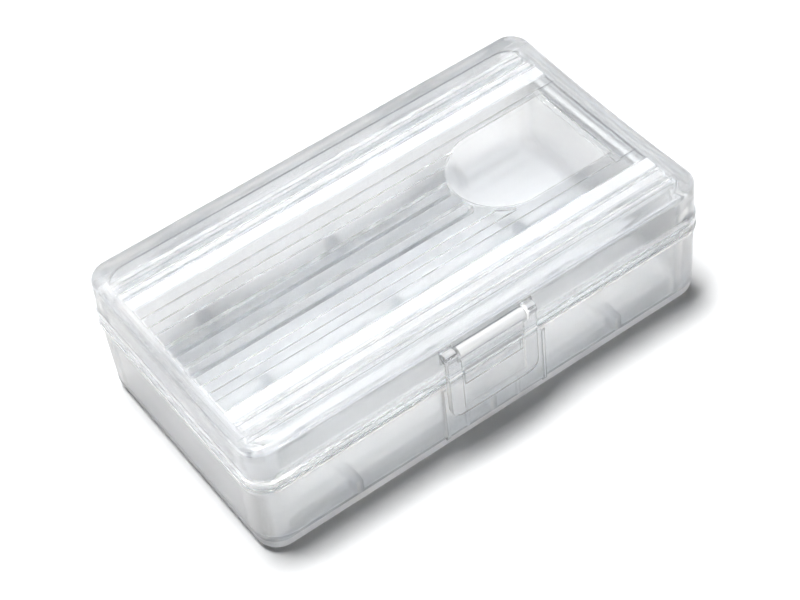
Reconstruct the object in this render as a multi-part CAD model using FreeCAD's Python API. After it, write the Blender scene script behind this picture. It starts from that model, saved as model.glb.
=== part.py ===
import FreeCAD, Part
import math
import os
from FreeCAD import Vector as V

# A small two-bay cell case moulded in natural translucent plastic: a base tray, a
# lid on two pin hinges along the far long side, and a snap latch on the near long side.
# X is the length, -Y the latch side, +Y the hinge side, Z up, the table at Z = 0.
# All sizes are millimetres.

# overall
L_FL = 76.0            # length over the seam flange
W_FL = 43.0            # width over the seam flange
R_FL = 3.9             # plan corner radius of the flange
FL_OUT = 0.25          # how far the tray's rim stands out from the walls
LFL_OUT = 0.14         # how far the lid's flange stands out
Z_FL0 = 13.45          # rim of the tray, lower edge
Z_SEAM = 14.17         # parting plane
SEAM_GAP = 0.10        # gap between the two rims
Z_FL1 = 16.40          # flange of the lid, upper edge
FL_R = 0.28            # rounding of the flange edges
Z_TOP_SIDE = 22.30     # lid height at the long edges
DISH = 0.75            # the top is this much lower along the middle

# base tray
B_DRAFT = 0.27         # inset of the base walls at the table
B_BOT_R = 2.1          # outer rounding around the bottom
B_WALL = 1.30
B_FLOOR = 1.30
LIP_T = 0.60           # lip inside the lid
LIP_H = 0.85
LIP_CLEAR = 0.12

# lid
T_DRAFT = 0.25         # inset of the lid walls at the top
T_TOP_R = 0.80         # outer rounding around the top
T_WALL = 1.25
T_TOP = 1.15           # thickness of the top plate along the middle
T_IN_R = 0.90          # rounding between top plate and walls, inside
IN_R = 4.40            # plan corner radius inside, so the corners are thicker than the walls
END_Z = 19.60          # the lid's ends are solid above this

# lengthwise ribs and flutes inside both halves
X_FLUTE = 35.4         # in the lid they stop this far from the middle
X_FLUTE_B = 33.8       # and in the tray
RIB_Y = (2.32, 6.60)   # middles of the two pairs of ribs
RIB_W = 1.60
LID_RIB_Z = (19.10, 20.00)
BASE_RIB_Z = (3.10, 1.80)
LAND = ((11.45, 13.50), (14.10, 15.40), (16.50, 17.45))   # flat lands along each side
LID_LAND_Z = (20.00, 19.06, 18.60)
BASE_LAND_Z = (1.75, 2.40, 3.00)
GROOVE = 0.70          # depth of the grooves between the lands
FINE_Y = 9.26          # a fine line over the middle of each bay
LINE_Y = (17.3, 18.5)         # fine grooves along the outside of the top

# thumb pad
PAD_R = 7.9
PAD_X0 = 18.5          # centre of the round end
PAD_X1 = 31.9          # straight end
PAD_SINK = 0.20
BAR = (31.6, 32.5, 9.5, 0.55)      # cross bar under the straight end: x, x, half length, depth

# cell bays
CELL_R = 9.35
CELL_Y = 9.60
CELL_Z = 10.85
FRAME_X = (0.0, 22.4, -22.4)       # low cross ribs
FRAME_T = 1.1
FRAME_TOP = 4.6
POST_X = 4.35          # short upright ribs inside the near wall
POST_TOP = 7.5

# hinge, far side
H_Y = W_FL / 2 + 1.65
H_Z = Z_SEAM
H_PIN_R = 0.75
H_BORE_R = 0.83
H_R = 1.45
H_X = 20.0             # middle of each hinge
H_KN = 6.4             # width of the lid's knuckle
H_GAP = 0.15
H_LUG = 1.5            # thickness of the base's lugs

# latch, near side
WALL_Y = -(W_FL / 2 - FL_OUT)      # near wall plane
P_Y = WALL_Y - 0.27                # latch pivot
P_Z = 19.30
P_R = 0.90                         # outside of the ears and of the lid's barrel
P_PIN_R = 0.45
P_BORE_R = 0.51
LAT_CX = -0.40                     # middle of the latch
BAR_X = 5.62                       # half length of the lid's barrel
LAT_X = 7.42                       # half width of the latch
LAT_Z0 = 7.40                      # its lower end
LAT_T0 = 0.32                      # back plane, from the wall
LAT_T1 = 1.15                      # front plane, from the wall
LAT_R = 2.0                        # lower corners
STILE_X = 5.22                     # inner edge of the stiles
WEB_T1 = 0.78                      # front of the web between the stiles
BANDZ = (13.24, 15.89)             # raised band across the web
BAND_X = 4.83
RAIL = 1.30                        # height of the lower rail
PLAT_X = 8.60                      # half width of the platform behind the latch
PLAT_T = 0.25
PLAT_Z0 = 3.2
GUARD_T = 0.62
GUARD_W = 0.60

os.makedirs("parts", exist_ok=True)


def rrect(lx, ly, r, z):
    """Closed wire: a rounded rectangle centred on the Z axis."""
    a, b = lx / 2, ly / 2
    s = math.sqrt(0.5) * r
    e = []
    pts = [((-a + r, -b), (a - r, -b)), ((a, -b + r), (a, b - r)),
           ((a - r, b), (-a + r, b)), ((-a, b - r), (-a, -b + r))]
    mids = [(a - r + s, -b + r - s), (a - r + s, b - r + s),
            (-a + r - s, b - r + s), (-a + r - s, -b + r - s)]
    for i in range(4):
        p, q = pts[i]
        n = pts[(i + 1) % 4][0]
        e.append(Part.makeLine(V(p[0], p[1], z), V(q[0], q[1], z)))
        m = mids[i]
        e.append(Part.Arc(V(q[0], q[1], z), V(m[0], m[1], z), V(n[0], n[1], z)).toShape())
    return Part.Wire(e)


def slab(lx, ly, r, z0, z1):
    return Part.Face(rrect(lx, ly, r, z0)).extrude(V(0, 0, z1 - z0))


def taper(l0, w0, r0, z0, l1, w1, r1, z1):
    return Part.makeLoft([rrect(l0, w0, r0, z0), rrect(l1, w1, r1, z1)], True, True)


def box(x0, x1, y0, y1, z0, z1):
    return Part.makeBox(x1 - x0, y1 - y0, z1 - z0, V(x0, y0, z0))


def rod(x0, x1, y, z, r):
    return Part.makeCylinder(r, x1 - x0, V(x0, y, z), V(1, 0, 0))


def prism_x(pts, x0, x1):
    """A polygon in Y and Z drawn out along X."""
    w = Part.makePolygon([V(x0, y, z) for y, z in pts] + [V(x0, pts[0][0], pts[0][1])])
    return Part.Face(w).extrude(V(x1 - x0, 0, 0))


def mirror_x(s):
    return s.mirror(V(0, 0, 0), V(1, 0, 0))


def mirror_y(s):
    return s.mirror(V(0, 0, 0), V(0, 1, 0))


def edges_at(s, test):
    """Edges all of whose sample points pass the test."""
    out = []
    for e in s.Edges:
        pts = e.discretize(5)
        if all(test(p) for p in pts):
            out.append(e)
    return out


def flat_z(z, tol=0.02):
    return lambda p: abs(p.z - z) < tol


def fuse(a, *bs):
    return a.fuse(list(bs)).removeSplitter()


LW, WW = L_FL - 2 * FL_OUT, W_FL - 2 * FL_OUT      # wall outline
RW = R_FL - FL_OUT
z_base_top = Z_SEAM - SEAM_GAP / 2
z_lid_bot = Z_SEAM + SEAM_GAP / 2


# the outside of the top is a very shallow trough: one arc across the width
DISH_R = (20.7 ** 2 + DISH ** 2) / (2 * DISH)
DISH_CZ = Z_TOP_SIDE - DISH + DISH_R


def top_z(y):
    """Height of the outside of the top at a distance from the middle."""
    return DISH_CZ - math.sqrt(DISH_R ** 2 - y ** 2)


def trough(extra):
    return Part.makeCylinder(DISH_R + extra, 100, V(-50, 0, DISH_CZ), V(1, 0, 0))


def side_steps(s, zc, lands):
    """Profile of the stepped lands along one side, as (y, z) from the bay's middle out.

    zc is the plate's inner face. s is -1 where the lands hang down and +1 where they
    stand up.
    """
    pts = [(LAND[0][0] - 0.06, zc - s * 0.5)]
    for i, ((a, b), z) in enumerate(zip(LAND, lands)):
        pts += [(a, z), (b, z)]
        if i < len(LAND) - 1:
            pts += [(b + 0.05, z - s * GROOVE), (LAND[i + 1][0] - 0.05, z - s * GROOVE)]
    return pts + [(LAND[-1][1] + 0.06, zc - s * 0.5)]


# ---------------------------------------------------------------- base tray
base = taper(LW - 2 * B_DRAFT, WW - 2 * B_DRAFT, RW - 0.1, 0.0, LW, WW, RW, z_base_top)
base = base.makeFillet(B_BOT_R, edges_at(base, flat_z(0.0)))

flange = slab(L_FL, W_FL, R_FL, Z_FL0, z_base_top)
flange = flange.makeFillet(FL_R, edges_at(flange, flat_z(Z_FL0)))
flange = flange.makeFillet(0.10, edges_at(flange, flat_z(z_base_top)))

# the rim is flush with the platform behind the latch
flange = flange.cut(box(-8.25, 8.25, -30, WALL_Y - PLAT_T, 12, 15))

lip_l = LW - 2 * (B_WALL - LIP_T)
lip_w = WW - 2 * (B_WALL - LIP_T)
lip_r = RW - (B_WALL - LIP_T)
lip = slab(lip_l, lip_w, lip_r, z_base_top - 0.5, z_base_top + LIP_H)
lip = lip.makeFillet(0.22, edges_at(lip, flat_z(z_base_top + LIP_H)))

# platform behind the latch and its two guard ribs
plat = prism_x([(WALL_Y + 0.6, PLAT_Z0 - 0.3), (WALL_Y - PLAT_T + 0.25, PLAT_Z0 - 0.25), (WALL_Y - PLAT_T, PLAT_Z0),
                (WALL_Y - PLAT_T, z_base_top), (WALL_Y + 0.6, z_base_top)], -PLAT_X, PLAT_X)
guard = prism_x([(WALL_Y + 0.6, PLAT_Z0 - 0.3), (WALL_Y - 0.25, PLAT_Z0 - 0.3), (WALL_Y - GUARD_T, PLAT_Z0 + 0.5),
                 (WALL_Y - GUARD_T, 13.4), (WALL_Y - GUARD_T + 0.3, z_base_top), (WALL_Y + 0.6, z_base_top)],
                PLAT_X - GUARD_W, PLAT_X)
guard = guard.makeFillet(0.16, edges_at(guard, lambda p: p.y < WALL_Y - GUARD_T + 0.01))
# catch bead under the flange
bead = prism_x([(WALL_Y, 12.75), (WALL_Y - PLAT_T, 12.75), (WALL_Y - 0.41, 13.10), (WALL_Y - 0.41, 13.55),
                (WALL_Y - PLAT_T, 13.95), (WALL_Y, 13.95)], LAT_CX - 4.2, LAT_CX + 4.2)

body = fuse(base, flange, lip, plat, guard, mirror_x(guard), bead)

cav_l, cav_w, cav_r = LW - 2 * B_WALL, WW - 2 * B_WALL, IN_R
cavity = taper(cav_l - 0.5, cav_w - 0.5, cav_r, B_FLOOR, cav_l, cav_w, cav_r, z_base_top + LIP_H + 0.5)
cavity = cavity.makeFillet(1.3, edges_at(cavity, flat_z(B_FLOOR)))
body = body.cut(cavity)

# ribs and flutes along the floor
for y, z in zip(RIB_Y, BASE_RIB_Z):
    rib = prism_x([(y - RIB_W / 2 - 0.08, B_FLOOR - 0.5), (y - RIB_W / 2, z), (y + RIB_W / 2, z),
                   (y + RIB_W / 2 + 0.08, B_FLOOR - 0.5)], -X_FLUTE_B, X_FLUTE_B)
    body = body.fuse([rib, mirror_y(rib)])
side = prism_x(side_steps(1, B_FLOOR, BASE_LAND_Z), -X_FLUTE_B, X_FLUTE_B)
body = body.fuse([side, mirror_y(side)])

# cross ribs, hollowed to the cells
for x in FRAME_X:
    fr = box(x - FRAME_T / 2, x + FRAME_T / 2, -20.3, 20.3, B_FLOOR - 0.3, FRAME_TOP)
    fr = fr.cut(rod(x - 3, x + 3, CELL_Y, CELL_Z, CELL_R)).cut(rod(x - 3, x + 3, -CELL_Y, CELL_Z, CELL_R))
    body = body.fuse(fr.common(base))
for sx in (-1, 1):
    post = box(sx * POST_X - 0.3, sx * POST_X + 0.3, -20.4, -19.45, B_FLOOR - 0.2, POST_TOP)
    post = post.makeFillet(0.2, edges_at(post, lambda p: p.y > -19.46 and p.z > POST_TOP - 0.01))
    body = body.fuse(post.common(base))

# hinge lugs and pins
lugs = []
x_in = H_KN / 2 + H_GAP
for cx in (H_X, -H_X):
    for sx in (-1, 1):
        a, b = sorted((cx + sx * x_in, cx + sx * (x_in + H_LUG)))
        disc = rod(a, b, H_Y, H_Z, H_R)
        arm = prism_x([(H_Y, H_Z - H_R), (H_Y, H_Z), (H_Y - H_R, H_Z), (H_Y - H_R, z_base_top - 0.06), (-WALL_Y - 0.4, z_base_top - 0.06),
                       (-WALL_Y - 0.4, 10.2), (-WALL_Y + 0.05, 10.2)], a, b)
        lugs += [disc, arm]
    lugs.append(rod(cx - x_in - 0.5, cx + x_in + 0.5, H_Y, H_Z, H_PIN_R))
body = body.fuse(lugs).removeSplitter()
base_tray = body

# ---------------------------------------------------------------- lid
z_hi = Z_TOP_SIDE + 0.4
k = (z_hi - z_lid_bot) / (Z_TOP_SIDE - z_lid_bot)
lid = taper(LW, WW, RW, z_lid_bot, LW - 2 * T_DRAFT * k, WW - 2 * T_DRAFT * k, RW - 0.45, z_hi)
lid = lid.cut(trough(0)).Solids[0]
top_edges = edges_at(lid, lambda p: p.z > top_z(0) - 0.02 and (abs(p.y) > 16 or abs(p.x) > 36))
lid = lid.makeFillet(T_TOP_R, top_edges)

lfl_d = 2 * (FL_OUT - LFL_OUT)
lfl = slab(L_FL - lfl_d, W_FL - lfl_d, R_FL - lfl_d / 2, z_lid_bot, Z_FL1)
lfl = lfl.makeFillet(FL_R, edges_at(lfl, flat_z(Z_FL1)))
lfl = lfl.makeFillet(0.10, edges_at(lfl, flat_z(z_lid_bot)))
lid = fuse(lid, lfl)

# fine grooves along the outside of the top
for y in LINE_Y:
    zc = top_z(y)
    g = prism_x([(y - 0.16, zc + 0.2), (y - 0.02, zc - 0.10), (y + 0.02, zc - 0.10), (y + 0.16, zc + 0.2)], -40, 40)
    lid = lid.cut(g).cut(mirror_y(g))

# inside of the lid
z_ceil = Z_TOP_SIDE - DISH - T_TOP
in_l, in_w, in_r = LW - 2 * T_WALL, WW - 2 * T_WALL, IN_R
kk = (z_ceil - z_lid_bot) / (Z_TOP_SIDE - z_lid_bot)
hollow = taper(in_l, in_w, in_r, z_lid_bot - 1.0, in_l - 2 * T_DRAFT * kk, in_w - 2 * T_DRAFT * kk, in_r - 0.2, z_ceil)
hollow = hollow.makeFillet(T_IN_R, edges_at(hollow, flat_z(z_ceil)))
for sx in (-1, 1):
    a, b = sorted((sx * X_FLUTE, sx * 40))
    hollow = hollow.cut(box(a, b, -30, 30, END_Z, 30))
lid = lid.cut(hollow)
rebate = slab(lip_l + 2 * LIP_CLEAR, lip_w + 2 * LIP_CLEAR, lip_r + LIP_CLEAR, z_lid_bot - 1.0, z_base_top + LIP_H + 0.12)
lid = lid.cut(rebate)

# ribs and flutes under the top
for y, z in zip(RIB_Y, LID_RIB_Z):
    rib = prism_x([(y - RIB_W / 2 - 0.08, z_ceil + 0.3), (y - RIB_W / 2, z), (y + RIB_W / 2, z),
                   (y + RIB_W / 2 + 0.08, z_ceil + 0.3)], -X_FLUTE, X_FLUTE)
    lid = lid.fuse([rib, mirror_y(rib)])
side = prism_x(side_steps(-1, z_ceil, LID_LAND_Z), -X_FLUTE, X_FLUTE)
lid = lid.fuse([side, mirror_y(side)])
fine = prism_x([(FINE_Y - 0.14, z_ceil + 0.2), (FINE_Y - 0.06, z_ceil - 0.22), (FINE_Y + 0.06, z_ceil - 0.22), (FINE_Y + 0.14, z_ceil + 0.2)],
               -X_FLUTE, X_FLUTE)
lid = lid.fuse([fine, mirror_y(fine)])

# thumb pad: the ribs stop at it, and its face is slightly sunk
pad_in = Part.makeCylinder(PAD_R, 3.0, V(PAD_X0, 0, z_ceil - 3.0)).fuse(
    box(PAD_X0, X_FLUTE, -PAD_R, PAD_R, z_ceil - 3.0, z_ceil))
lid = lid.cut(pad_in.removeSplitter())
bx0, bx1, by, bd = BAR
bar = box(bx0, bx1, -by, by, z_ceil - bd, z_ceil + 0.3)
bar = bar.makeFillet(0.25, edges_at(bar, flat_z(z_ceil - bd)))
bar = bar.cut(rod(bx0 - 1, bx1 + 1, CELL_Y, CELL_Z, CELL_R)).cut(rod(bx0 - 1, bx1 + 1, -CELL_Y, CELL_Z, CELL_R))
lid = lid.fuse(bar)
pad_out = Part.makeCylinder(PAD_R, 3.0, V(PAD_X0, 0, top_z(0) - 1.0)).fuse(
    box(PAD_X0, PAD_X1, -PAD_R, PAD_R, top_z(0) - 1.0, top_z(0) + 2.0)).removeSplitter()
lid = lid.cut(pad_out.common(trough(PAD_SINK)))

# hinge knuckles
for cx in (H_X, -H_X):
    kn = rod(cx - H_KN / 2, cx + H_KN / 2, H_Y, H_Z, H_R)
    arm = prism_x([(H_Y, H_Z + H_R), (H_Y, z_lid_bot), (-WALL_Y - 0.5, z_lid_bot), (-WALL_Y - 0.5, H_Z + H_R + 1.3),
                   (-WALL_Y - 0.1, H_Z + H_R + 1.3)], cx - H_KN / 2, cx + H_KN / 2)
    lid = lid.fuse([kn, arm]).cut(rod(cx - H_KN, cx + H_KN, H_Y, H_Z, H_BORE_R))

# barrel and stub pins for the latch, with a pocket in the wall beside each ear
for sx in (-1, 1):
    a, b = sorted((LAT_CX + sx * BAR_X, LAT_CX + sx * (LAT_X + 0.25)))
    lid = lid.cut(box(a, b, P_Y - 0.6, P_Y + P_R + 0.12, P_Z - P_R - 0.3, P_Z + P_R + 0.25))
barrel = rod(LAT_CX - BAR_X, LAT_CX + BAR_X, P_Y, P_Z, P_R)
seat = box(LAT_CX - BAR_X, LAT_CX + BAR_X, P_Y, WALL_Y + 0.8, P_Z - P_R, P_Z + P_R)
pins = rod(LAT_CX - LAT_X + 0.15, LAT_CX + LAT_X - 0.15, P_Y, P_Z, P_PIN_R)
lid = lid.fuse([barrel, seat, pins]).removeSplitter()

# ---------------------------------------------------------------- latch
ya, yb = WALL_Y - LAT_T0, WALL_Y - LAT_T1            # back and front planes
yw = WALL_Y - WEB_T1
z_web = P_Z - P_R - 0.12
# outline of the plate, with round lower corners
pl = box(-LAT_X, LAT_X, yb, ya, LAT_Z0, P_Z)
pl = pl.makeFillet(LAT_R, [e for e in pl.Edges if abs(abs(e.BoundBox.XMin) - LAT_X) < 1e-6 and e.BoundBox.XLength < 1e-6
                           and e.BoundBox.ZLength < 1e-6 and abs(e.BoundBox.ZMin - LAT_Z0) < 1e-6])
pl = pl.makeFillet(0.18, edges_at(pl, lambda p: abs(p.y - yb) < 1e-4 and p.z < P_Z - 0.01))
pl = pl.cut(box(-BAR_X - 0.12, BAR_X + 0.12, yb - 1, ya + 1, z_web, P_Z + 5))
# ears
ear = rod(BAR_X + 0.12, LAT_X, P_Y, P_Z, P_R)
latch = fuse(pl, ear, mirror_x(ear))
# recessed web between the stiles, with the raised band across it
win = box(-STILE_X, STILE_X, yb - 1, yw, LAT_Z0 + RAIL, z_web + 1)
win = win.cut(box(-BAND_X, BAND_X, yb - 0.5, yw + 0.5, BANDZ[0], BANDZ[1]))
latch = latch.cut(win)
# the hollow behind the band, which passes the flange and the catch bead
hol = box(-BAND_X + 0.2, BAND_X - 0.2, WALL_Y - 0.55, ya + 1, 12.6, BANDZ[1] - 0.4)
latch = latch.cut(hol)
latch = latch.cut(rod(-20, 20, P_Y, P_Z, P_BORE_R))
# finger lip along the lower end
lipf = prism_x([(yb + 0.1, LAT_Z0 + 0.25), (yb - 0.15, LAT_Z0 + 0.40), (yb - 0.15, LAT_Z0 + 0.75), (yb + 0.1, LAT_Z0 + 0.95)],
               -STILE_X + 0.3, STILE_X - 0.3)
latch = fuse(latch, lipf)
latch.translate(V(LAT_CX, 0, 0))

shapes = {"base_tray": base_tray, "lid": lid, "snap_latch": latch}
for name, s in shapes.items():
    if s.ShapeType == "Compound" and len(s.Solids) == 1:
        s = s.Solids[0]
    shapes[name] = s
    b = s.BoundBox
    print("%-12s %-9s solids %d valid %s faces %d vol %.1f  x %.2f..%.2f y %.2f..%.2f z %.2f..%.2f" % (
        name, s.ShapeType, len(s.Solids), s.isValid(), len(s.Faces), s.Volume, b.XMin, b.XMax, b.YMin, b.YMax, b.ZMin, b.ZMax))
    s.exportStep("parts/%s.step" % name)
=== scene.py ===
import bpy
import math
from mathutils import Matrix, Vector

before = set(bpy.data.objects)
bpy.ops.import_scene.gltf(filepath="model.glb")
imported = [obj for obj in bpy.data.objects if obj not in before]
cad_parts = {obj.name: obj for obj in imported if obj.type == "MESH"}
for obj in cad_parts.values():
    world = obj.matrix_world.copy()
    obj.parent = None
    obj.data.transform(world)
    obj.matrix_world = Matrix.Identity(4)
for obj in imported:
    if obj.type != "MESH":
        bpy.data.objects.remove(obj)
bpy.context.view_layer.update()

scene = bpy.context.scene
MM = 0.001


# ------------------------------------------------------------------ small helpers
def new_mat(name):
    m = bpy.data.materials.new(name)
    m.use_nodes = True
    m.node_tree.nodes.clear()
    return m, m.node_tree.nodes, m.node_tree.links


def add(nodes, kind, x=0, y=0, **props):
    n = nodes.new(kind)
    n.location = (x, y)
    for k, v in props.items():
        setattr(n, k, v)
    return n


# ------------------------------------------------------------------ plastic
def math_node(nodes, links, op, a, b=None, c=None, clamp=False):
    """One math node; each input is a number or a socket."""
    n = nodes.new("ShaderNodeMath")
    n.operation = op
    n.use_clamp = clamp
    for i, v in enumerate((a, b, c)):
        if v is None:
            continue
        if isinstance(v, (int, float)):
            n.inputs[i].default_value = v
        else:
            links.new(v, n.inputs[i])
    return n.outputs["Value"]


def between(nodes, links, v, lo, hi, soft):
    """1 where lo < v < hi, with soft ends; all in millimetres."""
    up = math_node(nodes, links, "MULTIPLY_ADD", v, 1.0 / soft, 0.5 - lo / soft, True)
    down = math_node(nodes, links, "MULTIPLY_ADD", v, -1.0 / soft, 0.5 + hi / soft, True)
    return math_node(nodes, links, "MULTIPLY", up, down)


# matt parts of the mouldings, and walls with painted shade, as boxes in millimetres: axis -> (from, to, softness of
# the border);
# ax and ay are the distances from the middle planes
FAR = 99.0
ZONES = {
    "lid lands": [{"z": (18.5, 20.07, 0.06), "ay": (11.42, 13.53, 0.05), "ax": (-1.0, 35.5, 0.06)},
                  {"z": (18.5, 19.13, 0.06), "ay": (14.07, 15.43, 0.05), "ax": (-1.0, 35.5, 0.06)},
                  {"z": (18.5, 18.92, 0.06), "ay": (16.47, 17.48, 0.05), "ax": (-1.0, 35.5, 0.06)}],
    "lid ends": [{"ax": (35.35, FAR, 0.10), "z": (19.8, FAR, 0.3)}],
    "pad": [{"ay": (-1.0, 7.9, 0.2), "x": (0.0, 31.9, 0.2), "z": (20.0, FAR, 0.2)}],
    "lid seam": [{"z": (16.08, 16.9, 0.06), "ay": (21.15, FAR, 0.06)},
                 {"z": (16.08, 16.9, 0.06), "ax": (37.65, FAR, 0.06)}],
    "tray seam": [{"z": (13.78, 14.3, 0.06), "ay": (21.3, FAR, 0.06)},
                  {"z": (13.78, 14.3, 0.06), "ax": (37.8, FAR, 0.06)}],
    "tray floor": [{"z": (0.6, 3.2, 0.1), "ay": (-1.0, 17.8, 0.3), "ax": (-1.0, 35.5, 0.3)}],
    "far wall": [{"y": (19.0, FAR, 0.4), "z": (-1.0, 13.0, 0.5)}],
    "tray foot": [{"z": (-1.0, 2.7, 0.3), "ay": (17.9, FAR, 0.3)}, {"z": (-1.0, 2.7, 0.3), "ax": (35.6, FAR, 0.3)}],
    # lid walls and tray ends: walls whose base colour is darkened as painted shade
    "lid walls": [{"z": (16.5, 21.2, 0.3), "ay": (19.6, FAR, 0.2)}, {"z": (16.5, 21.2, 0.3), "ax": (35.9, FAR, 0.2)}],
    "tray ends": [{"z": (1.5, 13.4, 1.2), "ax": (36.5, FAR, 1.4)}],
    "roll": [{"z": (18.4, 20.6, 0.1), "y": (-FAR, -21.3, 0.06), "ax": (-1.0, 5.7, 0.2)}],
    "latch top": [{"z": (20.0, FAR, 0.1)}],
    "latch band": [{"z": (15.7, 16.1, 0.06)}],
}


def plastic(name, tint, haze, rough, wave, seed, milk, zones=()):
    """Undyed polypropylene: clear where thin, milky where thick, with a moulded skin.

    A zone is (kind, extra haze, extra roughness) and maybe (shade): a part of the moulding with a
    matt finish, or a wall whose base colour is darkened by the shade factor as painted shade.
    """
    m, nodes, links = new_mat(name)
    out = add(nodes, "ShaderNodeOutputMaterial", 900, 0)
    p = add(nodes, "ShaderNodeBsdfPrincipled", 560, 0)
    p.inputs["Base Color"].default_value = (*tint, 1.0)
    p.inputs["IOR"].default_value = 1.49
    p.inputs["Specular IOR Level"].default_value = 0.5
    tc = add(nodes, "ShaderNodeTexCoord", -900, 0)
    # flow marks: long soft streaks along the moulding
    mp = add(nodes, "ShaderNodeMapping", -700, 200)
    mp.inputs["Scale"].default_value = (45.0, 160.0, 160.0)
    mp.inputs["Location"].default_value = (seed, seed * 0.7, seed * 1.3)
    n1 = add(nodes, "ShaderNodeTexNoise", -500, 200)
    n1.inputs["Scale"].default_value = 1.0
    n1.inputs["Detail"].default_value = 2.0
    n1.inputs["Roughness"].default_value = 0.5
    # fine handling marks
    n2 = add(nodes, "ShaderNodeTexNoise", -500, -100)
    n2.inputs["Scale"].default_value = 900.0
    n2.inputs["Detail"].default_value = 4.0
    n2.inputs["Roughness"].default_value = 0.6
    links.new(tc.outputs["Object"], mp.inputs["Vector"])
    links.new(mp.outputs["Vector"], n1.inputs["Vector"])
    links.new(tc.outputs["Object"], n2.inputs["Vector"])
    sep = add(nodes, "ShaderNodeSeparateXYZ", -700, -300)
    links.new(tc.outputs["Object"], sep.inputs["Vector"])
    x = math_node(nodes, links, "MULTIPLY", sep.outputs["X"], 1000.0)
    y = math_node(nodes, links, "MULTIPLY", sep.outputs["Y"], 1000.0)
    z = math_node(nodes, links, "MULTIPLY", sep.outputs["Z"], 1000.0)
    ax = math_node(nodes, links, "ABSOLUTE", x)
    ay = math_node(nodes, links, "ABSOLUTE", y)
    h, r = haze, math_node(nodes, links, "MULTIPLY_ADD", n2.outputs["Fac"], 0.06, rough - 0.03)
    r = math_node(nodes, links, "MULTIPLY_ADD", n1.outputs["Fac"], 0.06, r)
    values = {"x": x, "y": y, "z": z, "ax": ax, "ay": ay}
    colour = None
    for kind, dh, dr, *shade in zones:
        k = None
        for boxed in ZONES[kind]:
            part = None
            for axis, (lo, hi, soft) in boxed.items():
                one = between(nodes, links, values[axis], lo, hi, soft)
                part = one if part is None else math_node(nodes, links, "MULTIPLY", part, one)
            k = part if k is None else math_node(nodes, links, "MAXIMUM", k, part)
        if kind == "pad":
            d = math_node(nodes, links, "SUBTRACT", x, 18.5)
            d = math_node(nodes, links, "MINIMUM", d, 0.0)
            d = math_node(nodes, links, "MULTIPLY", d, d)
            d = math_node(nodes, links, "MULTIPLY_ADD", ay, ay, d)
            d = math_node(nodes, links, "SQRT", d)
            k = math_node(nodes, links, "MULTIPLY", k, between(nodes, links, d, -1.0, 7.9, 0.2))
        if dh:
            h = math_node(nodes, links, "MULTIPLY_ADD", k, dh, h)
        if dr:
            r = math_node(nodes, links, "MULTIPLY_ADD", k, dr, r)
        # painted shade: the zone's base colour is mixed towards a darker tint by the shade factor
        if shade:
            colour = add(nodes, "ShaderNodeMix", 300, 300, data_type="RGBA")
            colour.inputs["A"].default_value = (*tint, 1.0)
            colour.inputs["B"].default_value = (*(c * shade[0] for c in tint), 1.0)
            links.new(k, colour.inputs["Factor"])
            links.new(colour.outputs["Result"], p.inputs["Base Color"])
    links.new(r, p.inputs["Roughness"])
    if isinstance(h, float):
        p.inputs["Transmission Weight"].default_value = 1.0 - h
    else:
        links.new(math_node(nodes, links, "SUBTRACT", 1.0, h, None, True), p.inputs["Transmission Weight"])
    if wave > 0:
        b1 = add(nodes, "ShaderNodeBump", 200, -200)
        b1.inputs["Strength"].default_value = wave
        b1.inputs["Distance"].default_value = 0.00010
        links.new(n1.outputs["Fac"], b1.inputs["Height"])
        links.new(b1.outputs["Normal"], p.inputs["Normal"])
    links.new(p.outputs["BSDF"], out.inputs["Surface"])
    # blue light scatters a little more than red, so thin parts look cool and thick parts warm
    v = add(nodes, "ShaderNodeVolumeScatter", 560, -500)
    v.inputs["Color"].default_value = (0.84, 0.90, 1.0, 1.0)
    v.inputs["Density"].default_value = milk
    v.inputs["Anisotropy"].default_value = 0.15
    links.new(v.outputs["Volume"], out.inputs["Volume"])
    return m


TINT = (0.975, 0.987, 1.0)
# tray ends (0.56) and lid walls (0.60) take a darker base colour: painted shade on these walls
mats = {
    "base_tray": plastic("pp_tray", TINT, 0.03, 0.16, 0.0, 3.1, 400.0,
                         (("tray floor", 0.65, 0.1), ("far wall", 0.10, 0.1), ("tray seam", 0.30, 0.2),
                          ("tray foot", 0.20, 0.2), ("tray ends", 0.0, 0.0, 0.56))),
    "lid": plastic("pp_lid", TINT, 0.01, 0.12, 0.0, 7.7, 110.0,
                   (("lid lands", 0.66, 0.3), ("lid ends", 0.08, 0.1), ("pad", 0.085, 0.0),
                    ("lid seam", 0.30, 0.2), ("lid walls", 0.0, 0.0, 0.60), ("roll", 0.55, 0.1))),
    "snap_latch": plastic("pp_latch", TINT, 0.01, 0.13, 0.0, 11.3, 300.0,
                          (("latch top", 0.15, 0.2), ("latch band", 0.5, 0.2), ("roll", 0.55, 0.1))),
}

for name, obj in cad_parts.items():
    obj.data.materials.clear()
    obj.data.materials.append(mats[name])
    for poly in obj.data.polygons:
        poly.use_smooth = True
    w = obj.modifiers.new("weld", "WELD")
    w.merge_threshold = 2e-6
    es = obj.modifiers.new("crisp", "EDGE_SPLIT")
    es.split_angle = math.radians(28)
    wn = obj.modifiers.new("even", "WEIGHTED_NORMAL")
    wn.mode = "FACE_AREA"
    wn.weight = 80
    wn.keep_sharp = True

# ------------------------------------------------------------------ floor and light
fm, fn, fl = new_mat("floor_white")
fo = add(fn, "ShaderNodeOutputMaterial", 300, 0)
fb = add(fn, "ShaderNodeBsdfPrincipled", 0, 0)
fb.inputs["Base Color"].default_value = (0.58, 0.585, 0.59, 1)
fb.inputs["Roughness"].default_value = 0.9
fb.inputs["Specular IOR Level"].default_value = 0.1
fl.new(fb.outputs["BSDF"], fo.inputs["Surface"])
me = bpy.data.meshes.new("floor")
s = 1.6
me.from_pydata([(-s, -s, 0), (s, -s, 0), (s, s, 0), (-s, s, 0)], [], [(0, 1, 2, 3)])
floor = bpy.data.objects.new("floor", me)
floor.location = (0, 0, -0.00002)
scene.collection.objects.link(floor)
me.materials.append(fm)

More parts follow.
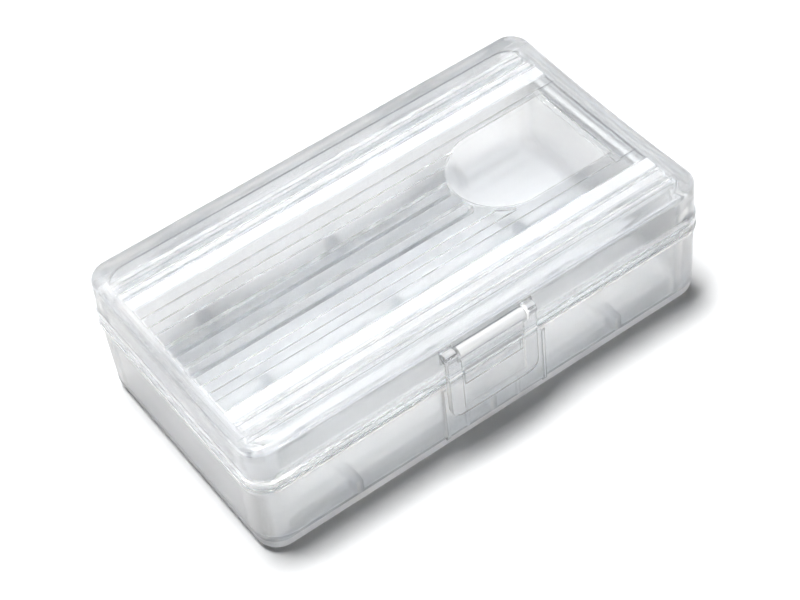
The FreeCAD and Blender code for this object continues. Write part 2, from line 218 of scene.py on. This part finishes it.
world = bpy.data.worlds.new("studio")
scene.world = world
world.use_nodes = True
bg = world.node_tree.nodes["Background"]
bg.inputs["Color"].default_value = (0.80, 0.83, 0.88, 1)
bg.inputs["Strength"].default_value = 0.02


def area(name, loc, target, size, power, color=(1, 1, 1)):
    l = bpy.data.lights.new(name, "AREA")
    l.shape = "RECTANGLE"
    l.size, l.size_y = size
    l.energy = power
    l.color = color
    o = bpy.data.objects.new(name, l)
    o.location = loc
    d = Vector(target) - Vector(loc)
    o.rotation_mode = "QUATERNION"
    o.rotation_quaternion = d.to_track_quat("-Z", "Y")
    scene.collection.objects.link(o)
    return o


# one soft box overhead, a little behind and left, so that the shadow is short and falls to the near side
area("overhead", (-0.05, 0.125, 0.80), (0, 0, 0), (0.42, 0.28), 18.0)
# long low panel on the near side, which lights the upright walls and hardly the table
area("front", (0.50, -0.90, 0.06), (0, 0, 0.01), (0.9, 0.10), 6.0)

# ------------------------------------------------------------------ camera
CAM_C = (-0.10503443, -0.17650735, 0.23590808)
ROT = (2.287090810, -0.787020747, 0.187138665)


def rotvec_matrix(v):
    v = Vector(v)
    return Matrix.Rotation(v.length, 3, v.normalized())


cam_data = bpy.data.cameras.new("photo_camera")
cam_data.sensor_fit = "HORIZONTAL"
cam_data.sensor_width = 36.0
cam_data.lens = 97.67
cam_data.clip_start, cam_data.clip_end = 0.01, 10
cam = bpy.data.objects.new("photo_camera", cam_data)
R = rotvec_matrix(ROT)
m = Matrix.Identity(4)
for i in range(3):
    m[i][0] = R[0][i]
    m[i][1] = -R[1][i]
    m[i][2] = -R[2][i]
    m[i][3] = CAM_C[i]
cam.matrix_world = m
scene.collection.objects.link(cam)
scene.camera = cam

# light passes through many thin walls, and scatters inside them
scene.cycles.max_bounces = 32
scene.cycles.transmission_bounces = 32
scene.cycles.glossy_bounces = 12
scene.cycles.diffuse_bounces = 8
scene.cycles.volume_bounces = 8
scene.cycles.sample_clamp_indirect = 40.0

scene.view_settings.view_transform = "Standard"
scene.view_settings.look = "None"
scene.view_settings.exposure = 0.0
